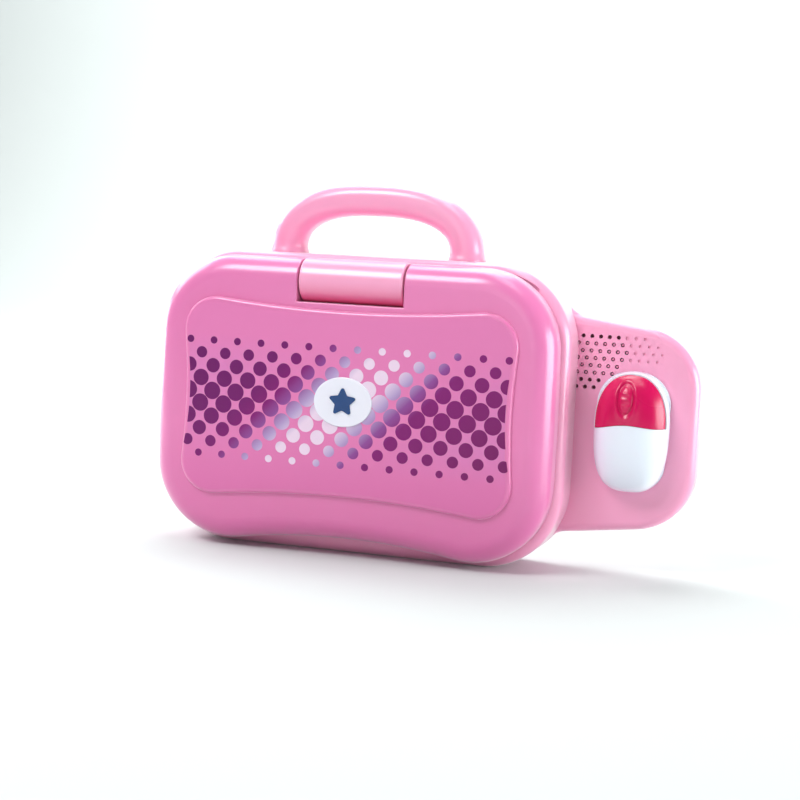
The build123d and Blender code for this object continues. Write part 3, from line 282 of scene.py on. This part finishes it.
def display(name):
    """Grey-green liquid crystal glass with a faint dot matrix."""
    graph = Graph(name)
    upright = graph.node("ShaderNodeMapping", Rotation=(math.pi / 2, 0, 0))
    graph.link(graph.place, upright.inputs["Vector"])
    grid = graph.node(
        "ShaderNodeTexBrick", Scale=380.0, Brick_Width=0.5, Row_Height=0.5, Mortar_Size=0.04,
        Color1=colour(158, 172, 148), Color2=colour(154, 169, 145), Mortar=colour(168, 181, 158),
    )
    grid.offset = 0.0
    graph.link(upright.outputs["Vector"], grid.inputs["Vector"])
    graph.base_colour(grid.outputs["Color"])
    graph.rough(0.2, 0.3, 70.0)
    return graph.material


LID_PINK = colour(229, 126, 181)
LID_DEEP = colour(214, 98, 163)
# Painted shade: the lid's pink is mixed towards a deeper colour near its foot, where shade falls.
LID_PAINTED_SHADE = colour(200, 78, 146)
PAINTED_SHADE_SHARE = 0.6
PAINTED_SHADE_FADE = (0.0, 0.07)              # heights between which the lid's painted shade fades out
BASE_PINK = colour(244, 163, 199)
BASE_DEEP = colour(232, 138, 180)
# Painted shade: the hinge barrel's lower half is mixed towards a deeper rose, where shade falls.
BARREL_PAINTED_SHADE = colour(226, 76, 128)
BARREL_SHADE_FADE = (0.1405, 0.1535)       # heights between which the barrel's painted shade fades out

LABEL_CENTRE_X = centre("lid_graphic_label").x
LABEL_CENTRE_Z = 0.085
LABEL_LILAC = colour(213, 128, 190)
LILAC_SHARE = 0.55
LILAC_ACROSS = (0.03, 0.09)          # distances from the pale band where the lilac comes in
LILAC_UP = (0.018, 0.036)            # distances from the middle row where it goes out

LIGHT_LILAC = colour(240, 214, 236)
MID_LILAC = colour(184, 156, 204)
VIOLET = colour(146, 76, 152)
PURPLE = colour(132, 26, 112)
PLUM = colour(116, 24, 104)
RED_PLUM = colour(120, 24, 94)
DARK_PURPLE = colour(106, 22, 96)
BAND_REACH = 0.13                    # distance from the pale band where the ramp of tones ends
SPOT_TONES = (
    (0.0, DARK_PURPLE),
    (0.27, PLUM),
    (0.33, PURPLE),
    (0.37, VIOLET),
    (0.41, MID_LILAC),
    (0.455, LIGHT_LILAC),
    (0.535, LIGHT_LILAC),
    (0.58, MID_LILAC),
    (0.625, VIOLET),
    (0.665, PURPLE),
    (1.0, RED_PLUM),
)


def label_height(graph):
    """Height over the label's middle row."""
    return graph.math("SUBTRACT", graph.axis("Z"), LABEL_CENTRE_Z)


def band_distance(graph):
    """Signed distance from the pale diagonal band, across the label: x minus height."""
    return graph.math("SUBTRACT", graph.axis("X"), label_height(graph))


def spot_shade(graph):
    """Spots run from pale lilac in the diagonal band to purple at both ends."""
    place = graph.remap(band_distance(graph), -BAND_REACH, BAND_REACH, 0.0, 1.0)
    return graph.ramp(place, SPOT_TONES)


def lid_pink_and_painted_shade(graph):
    """Orchid pink, with painted shade making it a little deeper towards the foot of the lid."""
    low = graph.remap(graph.axis("Z"), *PAINTED_SHADE_FADE, PAINTED_SHADE_SHARE, 0.0)
    return graph.mix(low, tinted(graph, LID_PINK, LID_DEEP), LID_PAINTED_SHADE)


def label_shade(graph):
    """Lid pink with its painted shade, turning a little lilac behind the dark spots."""
    ends = graph.remap(graph.math("ABSOLUTE", band_distance(graph)), *LILAC_ACROSS, 0.0, 1.0)
    middle = graph.remap(graph.math("ABSOLUTE", label_height(graph)), *LILAC_UP, 1.0, 0.0)
    share = graph.math("MULTIPLY", graph.math("MULTIPLY", ends, middle), LILAC_SHARE)
    return graph.mix(share, lid_pink_and_painted_shade(graph), LABEL_LILAC)


def barrel_pink_and_painted_shade(graph):
    """Light pink, with painted shade deepening to rose on the lower half of the hinge barrel."""
    low = graph.remap(graph.axis("Z"), *BARREL_SHADE_FADE, 1.0, 0.0)
    return graph.mix(low, tinted(graph, BASE_PINK, BASE_DEEP), BARREL_PAINTED_SHADE)


# The lid's colour carries painted shade towards its foot.
lid_plastic = moulded("orchid_pink_plastic", None, None, shade=lid_pink_and_painted_shade, sheen=0.6)
barrel_painted_shade_plastic = moulded("barrel_pink_painted_shade", None, None, shade=barrel_pink_and_painted_shade)
base_plastic = moulded("light_pink_plastic", BASE_PINK, BASE_DEEP, sheen=0.7)
white_plastic = moulded("white_plastic", colour(232, 239, 250), colour(216, 224, 240), 0.22, 0.5)
crimson_plastic = moulded(
    "crimson_plastic", colour(202, 10, 84), colour(188, 6, 76), 0.26, 0.3, gloss=0.35, sheen=0.0
)
purple_plastic = moulded("purple_plastic", colour(132, 64, 156), colour(110, 46, 132))
yellow_plastic = moulded("sunny_yellow_plastic", colour(250, 206, 66), colour(240, 186, 40))
green_plastic = moulded("grass_green_plastic", colour(116, 194, 96), colour(92, 172, 78))
blue_plastic = moulded("sky_blue_plastic", colour(92, 178, 226), colour(66, 154, 210))
orange_plastic = moulded("orange_plastic", colour(246, 146, 66), colour(232, 122, 44))
black_plastic = moulded("black_plastic", colour(38, 38, 42), colour(26, 26, 30), 0.45, 0.1)
jacket_plastic = moulded("battery_jacket", colour(92, 96, 108), colour(70, 74, 86), 0.35, 0.4)
lilac_rubber = rubber("lilac_rubber", colour(198, 164, 216), colour(182, 144, 204))
grey_rubber = rubber("grey_rubber", colour(92, 90, 96), colour(74, 72, 78))
cone_paper = rubber("black_paper", colour(34, 33, 35), colour(24, 23, 25))
speaker_weave = rubber("speaker_weave", colour(88, 30, 52), colour(66, 20, 38))
print_film = moulded("printed_film", None, None, 0.34, 0.08, 0.00002, label_shade, 0.3, 0.05)
spot_ink = moulded("spot_ink", None, None, 0.34, 0.08, 0.00002, spot_shade, 0.25, 0.0)
badge_white = moulded(
    "badge_white", colour(236, 234, 246), colour(226, 222, 238), 0.22, 0.4, sheen=0.0
)
badge_blue = moulded(
    "badge_blue", colour(14, 62, 120), colour(10, 50, 102), 0.24, 0.3, sheen=0.0
)
steel = metal("screw_steel", colour(196, 196, 198))
magnet = metal("dark_magnet", colour(78, 78, 82), 0.5)
window = clear("clear_window")
circuit = board("circuit_board_green")
crystal = display("lcd_glass")

BY_SLOT = {
    "orchid_pink_plastic": lid_plastic,
    "light_pink_plastic": base_plastic,
    "white_plastic": white_plastic,
    "crimson_plastic": crimson_plastic,
    "purple_plastic": purple_plastic,
    "sunny_yellow_plastic": yellow_plastic,
    "grass_green_plastic": green_plastic,
    "sky_blue_plastic": blue_plastic,
    "orange_plastic": orange_plastic,
    "black_plastic": black_plastic,
    "battery_jacket": jacket_plastic,
    "lilac_rubber": lilac_rubber,
    "grey_rubber": grey_rubber,
    "black_paper": cone_paper,
    "printed_film": print_film,
    "badge_white": badge_white,
    "badge_blue": badge_blue,
    "screw_steel": steel,
    "dark_magnet": magnet,
    "clear_window": window,
    "circuit_board_green": circuit,
    "lcd_glass": crystal,
}
for part in frame["record"]["subparts"]:
    dress(part["node"], BY_SLOT[part["material_slot"]])
# The hinge barrel's own copy of the light pink carries painted shade on its lower half.
dress("hinge_barrel", barrel_painted_shade_plastic)


# ---------------------------------------------------------------- printed spots

SPOT_PITCH = 0.0142
SPOT_ROWS = 10
SPOT_COLUMNS = range(-8, 9)
SPOT_STEPS = 36
SPOT_RADIUS = 0.00495                # a spot's radius in the middle of the field
SPOT_SHRINK = 0.000143               # and what it loses per squared row away from there
LEAST_SHOWING = 0.0022               # a spot that would show less than this is left out
INK_THICK = 0.00004
PRINT_EDGE = 0.0917                  # half width of the print at its waist
PRINT_WAIST = 0.003                  # height of the waist over the middle row
PRINT_CURVE = 3.2                    # how fast the sides curve out from it


def spot_radius(row):
    """Spots are largest in the middle rows."""
    away = row - (SPOT_ROWS - 1) / 2
    return SPOT_RADIUS - SPOT_SHRINK * away ** 2


def edge_limit(height):
    """How far out the print reaches at a height: its sides curve in like the panel's."""
    return PRINT_EDGE + PRINT_CURVE * (height - PRINT_WAIST) ** 2


def printed_spots():
    """Two interleaved grids of round spots, cut off along the label's sides."""
    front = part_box("lid_graphic_label")[0].y
    bm = bmesh.new()
    for row in range(SPOT_ROWS):
        height = ((SPOT_ROWS - 1) / 2 - row) * SPOT_PITCH / 2
        radius = spot_radius(row)
        for column in SPOT_COLUMNS:
            x = (column - 0.5 + (row % 2) / 2) * SPOT_PITCH
            if abs(x) - radius > edge_limit(height) - LEAST_SHOWING:
                continue
            rim = []
            for step in range(SPOT_STEPS):
                angle = 2 * math.pi * step / SPOT_STEPS
                z = height + radius * math.sin(angle)
                reach = edge_limit(z)
                across = max(-reach, min(reach, x + radius * math.cos(angle)))
                rim.append((LABEL_CENTRE_X + across, LABEL_CENTRE_Z + z))
            top = [bm.verts.new((px, front - INK_THICK, pz)) for px, pz in rim]
            low = [bm.verts.new((px, front, pz)) for px, pz in rim]
            close_tube(bm, (top, low))
    made = new_object("lid_printed_spots", bm, "lid", smooth=False)
    dress(made, spot_ink)


printed_spots()


# ---------------------------------------------------------------- carry handle

HANDLE_STEPS = 96
HANDLE_RING = 40
HANDLE_BAR = 0.0186                  # width of the bar, seen from the front
HANDLE_ARCH = 2 / 2.55               # exponent of the arch, squarer than an ellipse
HANDLE_SECTION = 0.82                # exponent of the bar's section
TANGENT_STEP = 0.004
FLARE = 0.10                         # widening where the bar meets the case
FLARE_HEIGHT = 0.0028


def arch_point(share, half_width, rise, foot_z):
    """Point on the handle's centre line: a squared-off arch from the left foot to the right one."""
    x, z = rounded(math.pi * (1 - share), HANDLE_ARCH)
    return half_width * x, foot_z + rise * abs(z)


def carry_handle():
    """Rounded bar swept along the arch, flaring a little where it meets the case."""
    low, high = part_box("carry_handle")
    foot_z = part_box("base_top_shell")[1].z
    depth = high.y - low.y
    middle_y = (low.y + high.y) / 2
    arch = (high.x - HANDLE_BAR / 2, high.z - HANDLE_BAR / 2 - foot_z, foot_z)
    bm = bmesh.new()
    rings = []
    for step in range(HANDLE_STEPS + 1):
        share = 0.5 - 0.5 * math.cos(math.pi * step / HANDLE_STEPS)
        x, z = arch_point(share, *arch)
        before = arch_point(max(share - TANGENT_STEP, 0), *arch)
        after = arch_point(min(share + TANGENT_STEP, 1), *arch)
        along = Vector((after[0] - before[0], 0, after[1] - before[1])).normalized()
        out = Vector((-along.z, 0, along.x))
        flare = 1 + FLARE * math.exp(-((z - foot_z) / FLARE_HEIGHT) ** 2)
        ring = []
        for turn in range(HANDLE_RING):
            wide, deep = rounded(2 * math.pi * turn / HANDLE_RING, HANDLE_SECTION)
            point = Vector((x, middle_y + deep * depth / 2 * flare, z))
            ring.append(bm.verts.new(point + out * (wide * HANDLE_BAR / 2 * flare)))
        rings.append(ring)
    close_tube(bm, rings)
    made = new_object("carry_handle_moulded", bm, "base")
    dress(made, base_plastic)
    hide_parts("carry_handle")


carry_handle()


# ---------------------------------------------------------------- mouse

MOUSE_RINGS = 70
MOUSE_TURNS = 220
MOUSE_WIDEST = 0.56                  # share of the height where the outline is widest
MOUSE_TOP = 2 / 2.25                 # exponents of the outline above and below that
MOUSE_FOOT = 2 / 2.9
DOME_POWER = 2.5
SEAM_Y = 0.0030                      # depth of the joint between the button and the body's side
SEAM_Z = 0.0835                      # height of the button's lower edge
SEAM_WAVE = 0.0012                   # height of its wave
SEAM_TURN, SEAM_SHIFT = 3.0, 0.1     # the wave's radians per half width, and its shift
SEAM_GAP = 0.00022
SEAM_REACH = 0.004                   # how far the cutting block goes beyond the mouse
SEAM_STEPS = 60
CRISP_ANGLE = 35
BUTTON_TRAVEL = 0.0010
BUTTON_CLEARANCE = 0.0002            # left behind the button at the end of its travel
BUTTON_INSET = 0.00012

# The moulded wheel, as an oval ring: sizes in metres, the widths of its groove and lip and the
# lip's place as shares of the ring.
WHEEL_AT = Vector((0.1505, 0.0985))
WHEEL_HALF_WIDTH, WHEEL_HALF_HEIGHT = 0.0042, 0.0080
GROOVE_DEPTH, GROOVE_WIDTH = 0.00085, 0.16
LIP_HEIGHT, LIP_AT, LIP_WIDTH = 0.00035, 1.38, 0.18
WHEEL_DOME = 0.0003
RIB_HEIGHT, RIB_PITCH, RIB_HALF_WIDTH = 0.00032, 0.0034, 0.0026


def mouse_outline(angle, half, up, down):
    """Egg outline about its widest line: squarer towards the foot than towards the top."""
    top_half = math.sin(angle) >= 0
    x, z = rounded(angle, MOUSE_TOP if top_half else MOUSE_FOOT)
    return half * x, (up if top_half else down) * z


def wheel_relief(x, z):
    """Moulded wheel, as a depth into the button: a soft lip, an oval groove and a ribbed dome."""
    away_x, away_z = x - WHEEL_AT.x, z - WHEEL_AT.y
    ring = math.hypot(away_x / WHEEL_HALF_WIDTH, away_z / WHEEL_HALF_HEIGHT)
    groove = GROOVE_DEPTH * math.exp(-((ring - 1) / GROOVE_WIDTH) ** 2)
    lip = -LIP_HEIGHT * math.exp(-((ring - LIP_AT) / LIP_WIDTH) ** 2)
    if ring >= 1:
        return groove + lip
    dome = -WHEEL_DOME * (1 - ring ** 2)
    rib = -RIB_HEIGHT * max(0.0, math.cos(2 * math.pi * away_z / RIB_PITCH)) * (1 - ring ** 4)
    return groove + dome + rib * math.exp(-(away_x / RIB_HALF_WIDTH) ** 4)


def mouse_dome(name, inset, relief):
    """Closed dome over the mouse's outline, drawn in by an inset; relief moves its surface."""
    low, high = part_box("mouse_body")
    middle_x = (low.x + high.x) / 2
    widest_z = low.z + MOUSE_WIDEST * (high.z - low.z)
    half = (high.x - low.x) / 2 - inset
    up = high.z - widest_z - inset
    down = widest_z - low.z - inset
    foot, height = high.y, high.y - low.y
    bm = bmesh.new()
    rings = []
    for ring in range(MOUSE_RINGS + 1):
        share = math.sin(math.pi / 2 * ring / MOUSE_RINGS)
        y = foot - height * max(0.0, 1 - share ** DOME_POWER) ** (1 / DOME_POWER)
        row = []
        for turn in range(MOUSE_TURNS if ring else 1):
            ox, oz = mouse_outline(2 * math.pi * turn / MOUSE_TURNS, half, up, down)
            x, z = middle_x + share * ox, widest_z + share * oz
            row.append(bm.verts.new((x, y + (relief(x, z) if relief else 0.0), z)))
        rings.append(row)
    for turn in range(MOUSE_TURNS):
        after = (turn + 1) % MOUSE_TURNS
        bm.faces.new((rings[0][0], rings[1][turn], rings[1][after]))
        for first, second in zip(rings[1:], rings[2:]):
            bm.faces.new((first[turn], second[turn], second[after], first[after]))
    bm.faces.new(list(reversed(rings[-1])))
    return new_object(name, bm, "mouse")


def seam_height(x):
    """Gently waving lower edge of the button."""
    low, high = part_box("mouse_body")
    across = (x - (low.x + high.x) / 2) / ((high.x - low.x) / 2)
    return SEAM_Z + SEAM_WAVE * (math.cos(SEAM_TURN * (across + SEAM_SHIFT)) + across)


def above_seam(rise, depth):
    """Block over the upper half of the mouse, from far in front of it back to a depth."""
    low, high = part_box("mouse_body")
    left, right, top = low.x - SEAM_REACH, high.x + SEAM_REACH, high.z + SEAM_REACH
    profile = []
    for step in range(SEAM_STEPS + 1):
        x = left + (right - left) * step / SEAM_STEPS
        profile.append((x, seam_height(x) + rise))
    profile += [(right, top), (left, top)]
    bm = bmesh.new()
    front = [bm.verts.new((x, low.y - SEAM_REACH, z)) for x, z in profile]
    back = [bm.verts.new((x, depth, z)) for x, z in profile]
    bm.faces.new(front)
    bm.faces.new(list(reversed(back)))
    for first in range(len(profile)):
        after = (first + 1) % len(profile)
        bm.faces.new((front[first], back[first], back[after], front[after]))
    return new_object("seam_block", bm, "mouse", smooth=False)


def carve(made, cutter, operation):
    """Boolean with a cutter, which is then removed; edges over CRISP_ANGLE degrees stay crisp."""
    cut = made.modifiers.new("cut", "BOOLEAN")
    cut.object = cutter
    cut.operation = operation
    cut.solver = "EXACT"
    apply_modifiers(made)
    bpy.data.objects.remove(cutter)
    for polygon in made.data.polygons:
        polygon.use_smooth = True
    made.data.set_sharp_from_angle(angle=math.radians(CRISP_ANGLE))


def mouse():
    """White domed body with a crimson button over its upper half."""
    body = mouse_dome("mouse_body_moulded", 0.0, None)
    carve(body, above_seam(0.0, SEAM_Y), "DIFFERENCE")
    dress(body, white_plastic)
    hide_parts("mouse_body")
    button = mouse_dome("mouse_button_moulded", BUTTON_INSET, wheel_relief)
    carve(button, above_seam(SEAM_GAP, SEAM_Y - BUTTON_TRAVEL - BUTTON_CLEARANCE), "INTERSECT")
    dress(button, crimson_plastic)
    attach(button, "mouse_button")
    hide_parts("mouse_button")


mouse()


# ---------------------------------------------------------------- speaker grille

HOLE_ROWS, HOLE_COLUMNS = 8, 12
HOLE_START = (0.1219, 0.1304)        # the first hole's x and z
HOLE_PITCH = (0.00487, 0.004)
HOLE_RADIUS = 0.00114
HOLE_SIDES = 20
UPPER_LIMIT = (0.143, -0.45, 0.133)  # slanting right edges of the grille: x, slope, z
LOWER_LIMIT = (0.148, 1.1, 0.118)
PIN_ROWS = range(1, 6)
PIN_FRONT, CLOTH_FRONT, CLOTH_BACK = 0.0126, 0.0141, 0.0144
CLOTH_PROFILE = ((HOLE_RADIUS * 0.98, 0), (HOLE_RADIUS, 0.3), (HOLE_RADIUS, 1))
PIN_PROFILE = ((0.0003, 0), (0.00052, 0.06), (0.00062, 0.2), (0.00066, 1))


def speaker_holes():
    """Open holes of the grille, with the row of each: the same staggered grid as in the wing."""
    for row in range(HOLE_ROWS):
        z = HOLE_START[1] - row * HOLE_PITCH[1]
        edge = min(x + slope * (z - level) for x, slope, level in (UPPER_LIMIT, LOWER_LIMIT))
        for column in range(HOLE_COLUMNS):
            x = HOLE_START[0] + column * HOLE_PITCH[0] - (row % 2) * HOLE_PITCH[0] / 2
            if x < edge:
                yield row, x, z


def add_peg(bm, x, z, front, back, profile):
    """Round peg along the depth; the profile gives (radius, share of the length from its front)."""
    turns = [2 * math.pi * turn / HOLE_SIDES for turn in range(HOLE_SIDES)]
    rings = []
    for radius, share in profile:
        y = front + (back - front) * share
        rings.append([
            bm.verts.new((x + radius * math.cos(angle), y, z + radius * math.sin(angle)))
            for angle in turns
        ])
    close_tube(bm, rings)


def speaker_grille():
    """Dark red cloth at the bottom of every hole, and a pink pin in the middle rows' holes."""
    cloth, pins = bmesh.new(), bmesh.new()
    for row, x, z in speaker_holes():
        add_peg(cloth, x, z, CLOTH_FRONT, CLOTH_BACK, CLOTH_PROFILE)
        if row in PIN_ROWS:
            add_peg(pins, x, z, PIN_FRONT, CLOTH_FRONT, PIN_PROFILE)
    cloth_piece = new_object("speaker_cloth", cloth, "base", smooth=False)
    dress(cloth_piece, speaker_weave)
    pin_piece = new_object("speaker_grille_pins", pins, "base")
    dress(pin_piece, base_plastic)


speaker_grille()


# ---------------------------------------------------------------- floor, light and camera

FLOOR_HALF_WIDTH = 4.0
FLOOR_NEAR, FLOOR_FAR, FLOOR_TOP = -3.0, 1.6, 3.0
BEND_RADIUS, BEND_STEPS = 0.9, 12
PAPER_TONES = ((0.625, 0.68, 0.67, 1.0), (0.645, 0.69, 0.685, 1.0))


def floor():
    """Pale floor that curves up behind the object."""
    profile = [(FLOOR_NEAR, 0.0), (FLOOR_FAR, 0.0)]
    for step in range(1, BEND_STEPS + 1):
        angle = math.pi / 2 * step / BEND_STEPS
        y = FLOOR_FAR + BEND_RADIUS * math.sin(angle)
        profile.append((y, BEND_RADIUS * (1 - math.cos(angle))))
    profile.append((FLOOR_FAR + BEND_RADIUS, FLOOR_TOP))
    bm = bmesh.new()
    sides = (-FLOOR_HALF_WIDTH, FLOOR_HALF_WIDTH)
    rows = [[bm.verts.new((x, y, z)) for x in sides] for y, z in profile]
    for first, second in zip(rows, rows[1:]):
        bm.faces.new((first[0], first[1], second[1], second[0]))
    made = linked_object("floor", bm)
    graph = Graph("floor_paper")
    graph.base_colour(graph.mix(graph.noise(3.0), *PAPER_TONES))
    graph.constants(Roughness=0.9, Specular_IOR_Level=0.1)
    dress(made, graph.material)


def soft_light(name, place, aim, size, power):
    """Area light of a (width, height) at a place, turned to an aim."""
    lamp = bpy.data.lights.new(name, "AREA")
    lamp.shape = "RECTANGLE"
    lamp.size, lamp.size_y = size
    lamp.energy = power
    made = bpy.data.objects.new(name, lamp)
    made.location = place
    made.rotation_euler = (Vector(aim) - Vector(place)).to_track_quat("-Z", "Y").to_euler()
    bpy.context.scene.collection.objects.link(made)


def lights():
    """Keys in front and behind, a low fill, strips for the edges, and backdrop lamps."""
    aim = (0.03, 0.0, 0.06)
    soft_light("front_key", (-0.5, -0.95, 1.25), aim, (0.6, 0.6), 15.5)
    soft_light("back_key", (-0.15, 0.52, 1.05), aim, (0.8, 0.8), 7.5)
    soft_light("fill", (-0.1, -1.8, 0.5), aim, (0.9, 0.9), 3.5)
    soft_light("top_strip", (0.1, 0.05, 0.85), aim, (0.9, 0.25), 2.4)
    soft_light("left_strip", (-0.8, 0.3, 0.62), aim, (0.9, 0.5), 7.0)
    soft_light("left_low", (-0.95, 0.3, 0.14), (-0.1, 0.0, 0.1), (0.5, 0.25), 2.0)
    soft_light("right_strip", (0.95, 0.05, 0.2), (0.1, 0.0, 0.1), (0.7, 0.4), 7.0)
    soft_light("backdrop_left", (-0.7, 0.9, 1.2), (-0.9, 2.4, 0.5), (1.0, 1.0), 36.0)
    soft_light("backdrop_right", (0.5, 0.9, 1.2), (0.9, 2.4, 0.5), (1.0, 1.0), 36.0)
    world = bpy.data.worlds.new("white_room")
    world.use_nodes = True
    background = world.node_tree.nodes["Background"]
    background.inputs["Color"].default_value = (1.0, 1.0, 1.0, 1.0)
    background.inputs["Strength"].default_value = 0.12
    bpy.context.scene.world = world


def camera():
    """Long lens, a little above and to the right of the lid's middle, with a slight tilt."""
    data = bpy.data.cameras.new("camera")
    data.lens = 75.88
    data.sensor_width = 36.0
    data.clip_end = 20.0
    made = bpy.data.objects.new("camera", data)
    made.location = (0.3101, -0.8974, 0.1816)
    made.rotation_euler = tuple(math.radians(angle) for angle in (84.330, -2.733, 18.068))
    bpy.context.scene.collection.objects.link(made)
    bpy.context.scene.camera = made


floor()
lights()
camera()
bpy.context.scene.view_settings.view_transform = "Standard"
